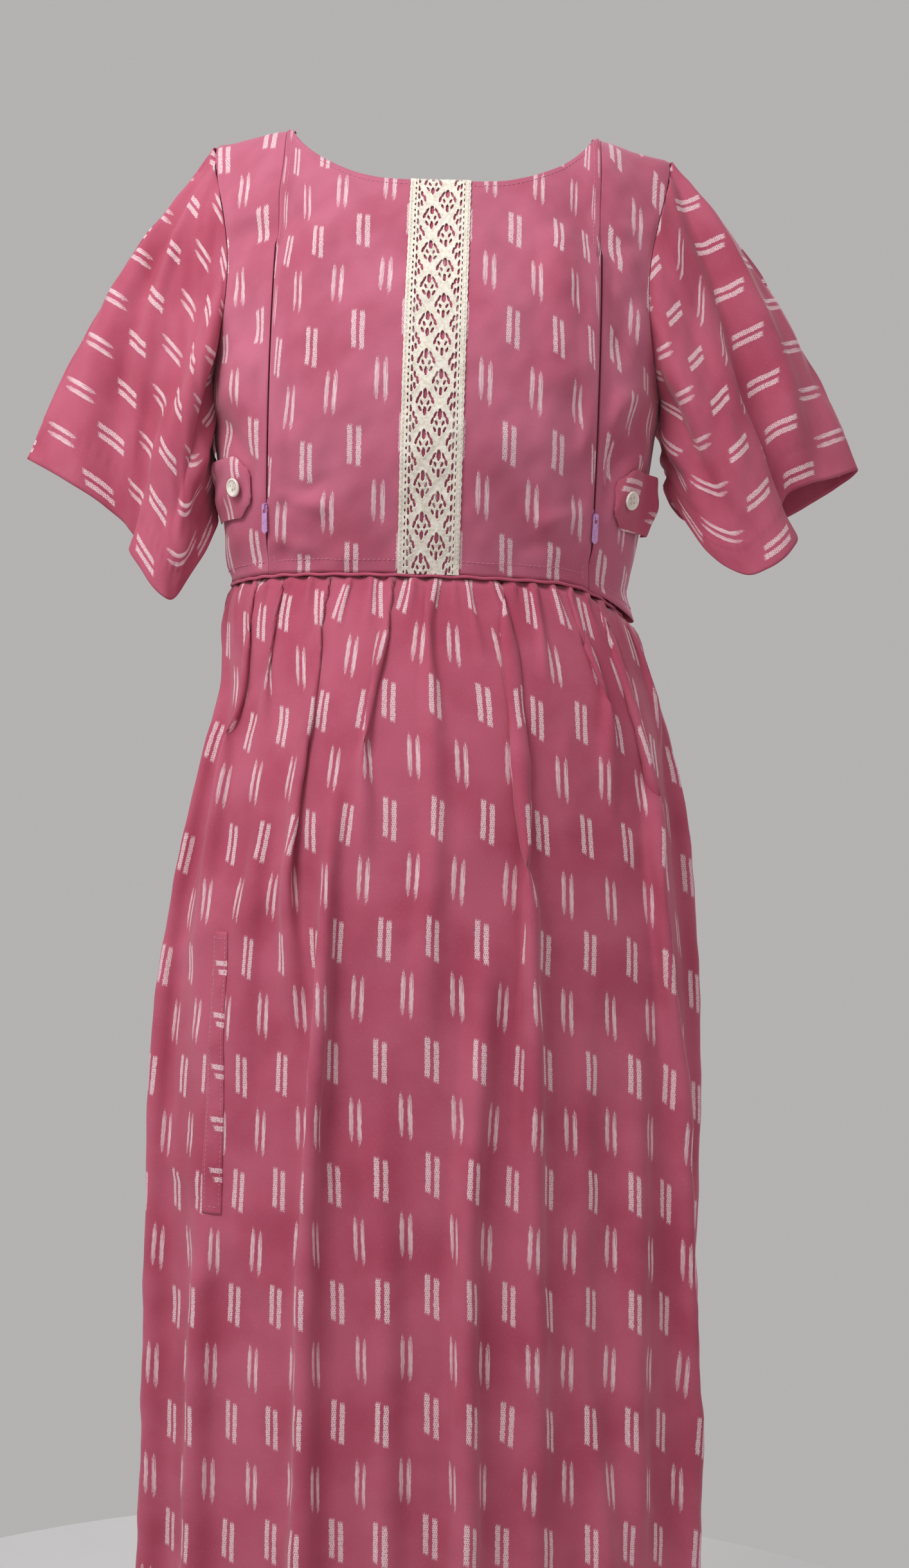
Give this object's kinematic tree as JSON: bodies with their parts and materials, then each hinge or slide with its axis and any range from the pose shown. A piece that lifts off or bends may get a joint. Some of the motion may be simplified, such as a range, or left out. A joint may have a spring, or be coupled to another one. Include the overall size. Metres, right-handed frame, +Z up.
{
  "type": "patient gown",
  "caption": "Short-sleeved empire-waist nursing gown with concealed front zips, lace trim, side belts and a long gathered skirt with a pocket, as worn upright.",
  "frame": {"origin": "midway between the two neck points, where the shoulder seams meet the neckline", "axes": "+Z up, from hem to neck; the front faces -Y; +X is the wearer's left"},
  "size_m": [0.6252, 0.3052, 1.2503],
  "materials": {
    "printed_cotton": "plain-weave cotton, pink with a white broken-dash print",
    "lining_cotton": "unprinted back of the same cotton",
    "lace": "crocheted cotton lace",
    "thread": "sewing thread",
    "zip_tape": "woven polyester tape",
    "zip_coil": "nylon coil",
    "lilac_metal": "lacquered zinc, satin",
    "pearl": "pearlescent polyester",
    "navy_tab": "woven ribbon, blank"
  },
  "bodies": {
    "gown": {"adjuster_belt_left": "printed_cotton", "adjuster_belt_right": "printed_cotton", "back_panel": "printed_cotton", "belt_button_left": "pearl", "belt_button_right": "pearl", "button_shank_left": "thread", "button_shank_right": "thread", "front_centre_panel": "printed_cotton", "front_side_panel_left": "printed_cotton", "front_side_panel_right": "printed_cotton", "lace_trim": "lace", "neck_facing_back": "lining_cotton", "neck_facing_front": "lining_cotton", "pocket_bag": "lining_cotton", "pocket_welt": "printed_cotton", "side_tab": "navy_tab", "skirt_back": "printed_cotton", "skirt_front": "printed_cotton", "sleeve_left": "printed_cotton", "sleeve_right": "printed_cotton", "waist_piping": "printed_cotton", "zip_bottom_stop_left": "lilac_metal", "zip_bottom_stop_right": "lilac_metal", "zip_coil_inner_left": "zip_coil", "zip_coil_inner_right": "zip_coil", "zip_coil_outer_left": "zip_coil", "zip_coil_outer_right": "zip_coil", "zip_tape_inner_left": "zip_tape", "zip_tape_inner_right": "zip_tape", "zip_tape_outer_left": "zip_tape", "zip_tape_outer_right": "zip_tape", "zip_top_stop_left": "lilac_metal", "zip_top_stop_right": "lilac_metal"},
    "zip_slider_left": {"zip_slider_left": "lilac_metal"},
    "zip_slider_right": {"zip_slider_right": "lilac_metal"},
    "zip_pull_left": {"zip_pull_left": "lilac_metal"},
    "zip_pull_right": {"zip_pull_right": "lilac_metal"}
  },
  "joints": [
    {"name": "zip_run_left", "type": "hinge", "parent": "gown", "child": "zip_slider_left", "pos_m": [0, 0.192, -0.204], "axis": [-1, 0, 0], "range_deg": [0, 38.1]},
    {"name": "pull_swing_left", "type": "hinge", "parent": "zip_slider_left", "child": "zip_pull_left", "pos_m": [-0.12051, -0.07628, -0.29674], "axis": [-0.8387, 0.5148, 0.1779], "range_deg": [0, 165]},
    {"name": "zip_run_right", "type": "hinge", "parent": "gown", "child": "zip_slider_right", "pos_m": [0, 0.192, -0.204], "axis": [-1, 0, 0], "range_deg": [0, 38.1]},
    {"name": "pull_swing_right", "type": "hinge", "parent": "zip_slider_right", "child": "zip_pull_right", "pos_m": [0.12051, -0.07628, -0.29674], "axis": [-0.8387, -0.5148, -0.1779], "range_deg": [0, 165]}
  ]
}
